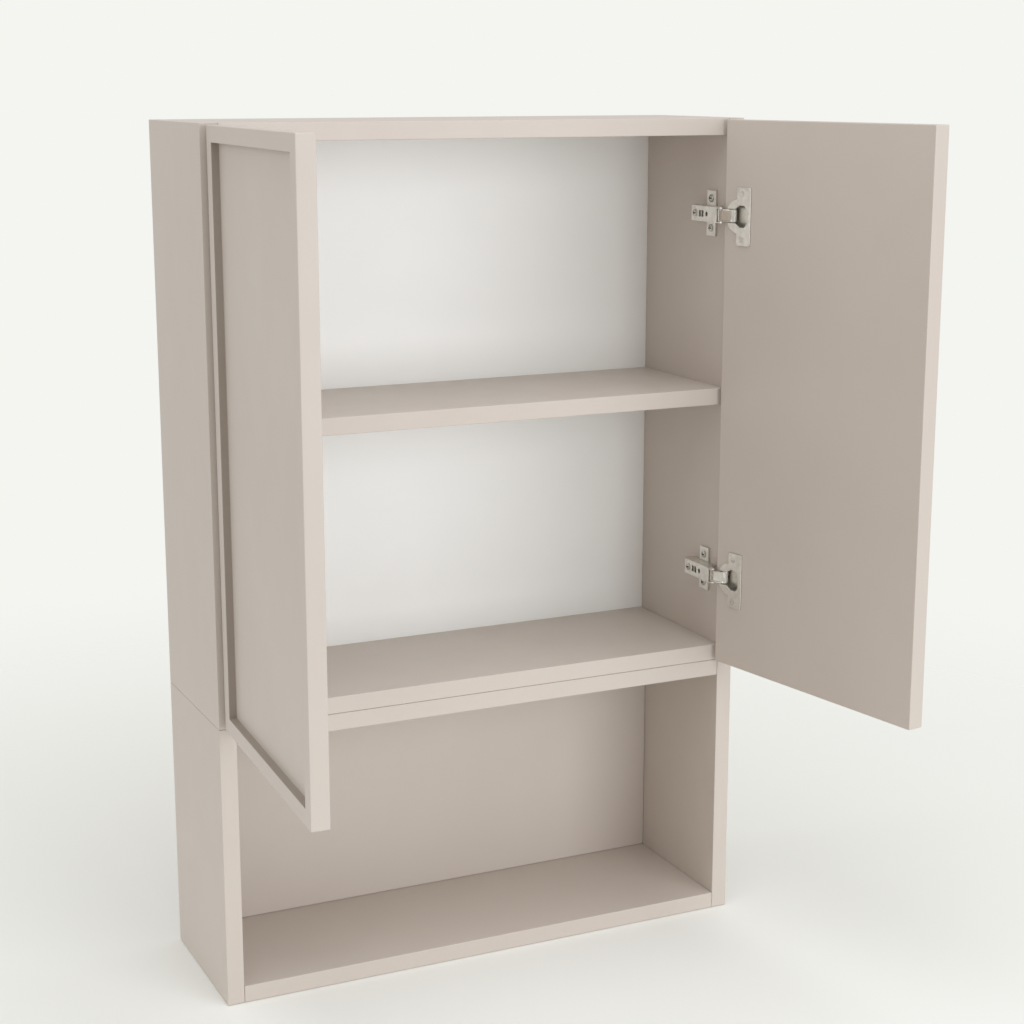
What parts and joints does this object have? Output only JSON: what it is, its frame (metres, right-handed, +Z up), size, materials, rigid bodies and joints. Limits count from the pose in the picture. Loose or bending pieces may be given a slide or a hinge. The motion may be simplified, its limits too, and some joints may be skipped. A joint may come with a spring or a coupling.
{
  "type": "over-the-toilet storage cabinet",
  "caption": "Shallow bathroom cabinet with framed doors on concealed cup hinges, a fixed shelf inside and an open cubby below.",
  "frame": {"origin": "middle of the underside of the bottom panel, on the surface that the rack stands on", "axes": "+Z up, -Y towards the doors and the user, +Y towards the wall, +X to the right seen from the front"},
  "size_m": [0.6519, 0.4823, 0.9],
  "materials": {
    "taupe_lacquer": "satin warm taupe lacquer on fibreboard, square edges just broken",
    "white_back": "smooth white-faced hardboard",
    "nickel": "pressed steel, bright nickel plate",
    "screw_steel": "zinc-plated steel",
    "hanger_steel": "zinc-plated sheet steel",
    "beech": "plain grooved beech dowel"
  },
  "bodies": {
    "cabinet": {"hinge_left_lower_arm": "nickel", "hinge_left_lower_arm_screw": "screw_steel", "hinge_left_lower_plate": "nickel", "hinge_left_lower_plate_screw_bottom": "screw_steel", "hinge_left_lower_plate_screw_top": "screw_steel", "hinge_left_upper_arm": "nickel", "hinge_left_upper_arm_screw": "screw_steel", "hinge_left_upper_plate": "nickel", "hinge_left_upper_plate_screw_bottom": "screw_steel", "hinge_left_upper_plate_screw_top": "screw_steel", "hinge_right_lower_arm": "nickel", "hinge_right_lower_arm_screw": "screw_steel", "hinge_right_lower_plate": "nickel", "hinge_right_lower_plate_screw_bottom": "screw_steel", "hinge_right_lower_plate_screw_top": "screw_steel", "hinge_right_upper_arm": "nickel", "hinge_right_upper_arm_screw": "screw_steel", "hinge_right_upper_plate": "nickel", "hinge_right_upper_plate_screw_bottom": "screw_steel", "hinge_right_upper_plate_screw_top": "screw_steel", "lower_back_panel": "taupe_lacquer", "lower_bottom_panel": "taupe_lacquer", "lower_side_left": "taupe_lacquer", "lower_side_right": "taupe_lacquer", "lower_top_panel": "taupe_lacquer", "module_screw_left_front": "screw_steel", "module_screw_left_rear": "screw_steel", "module_screw_right_front": "screw_steel", "module_screw_right_rear": "screw_steel", "shelf": "taupe_lacquer", "shelf_dowel_left_front": "beech", "shelf_dowel_left_rear": "beech", "shelf_dowel_right_front": "beech", "shelf_dowel_right_rear": "beech", "upper_back_panel": "white_back", "upper_bottom_panel": "taupe_lacquer", "upper_side_left": "taupe_lacquer", "upper_side_right": "taupe_lacquer", "upper_top_panel": "taupe_lacquer", "wall_hanger_left": "hanger_steel", "wall_hanger_right": "hanger_steel"},
    "left_links": {"hinge_left_lower_link": "nickel", "hinge_left_upper_link": "nickel"},
    "left_door": {"door_left": "taupe_lacquer", "hinge_left_lower_cup": "nickel", "hinge_left_lower_cup_screw_bottom": "screw_steel", "hinge_left_lower_cup_screw_top": "screw_steel", "hinge_left_upper_cup": "nickel", "hinge_left_upper_cup_screw_bottom": "screw_steel", "hinge_left_upper_cup_screw_top": "screw_steel"},
    "right_links": {"hinge_right_lower_link": "nickel", "hinge_right_upper_link": "nickel"},
    "right_door": {"door_right": "taupe_lacquer", "hinge_right_lower_cup": "nickel", "hinge_right_lower_cup_screw_bottom": "screw_steel", "hinge_right_lower_cup_screw_top": "screw_steel", "hinge_right_upper_cup": "nickel", "hinge_right_upper_cup_screw_bottom": "screw_steel", "hinge_right_upper_cup_screw_top": "screw_steel"}
  },
  "joints": [
    {"name": "left_link_swing", "type": "hinge", "parent": "cabinet", "child": "left_links", "pos_m": [-0.27, -0.0945, 0.6], "axis": [0, 0, -1], "range_deg": [-6.11, 46.41]},
    {"name": "left_door_swing", "type": "hinge", "parent": "left_links", "child": "left_door", "pos_m": [-0.28029, -0.10748, 0.6], "axis": [0, 0, -1], "range_deg": [-139.2, 18.3]},
    {"name": "right_link_swing", "type": "hinge", "parent": "cabinet", "child": "right_links", "pos_m": [0.27, -0.0945, 0.6], "axis": [0, 0, 1], "range_deg": [-2.61, 49.91]},
    {"name": "right_door_swing", "type": "hinge", "parent": "right_links", "child": "right_door", "pos_m": [0.27948, -0.10809, 0.6], "axis": [0, 0, 1], "range_deg": [-149.7, 7.8]}
  ],
  "couplings": [
    {"joint": "left_link_swing", "follows": "left_door_swing", "ratio": -0.33333},
    {"joint": "right_link_swing", "follows": "right_door_swing", "ratio": -0.33333}
  ]
}
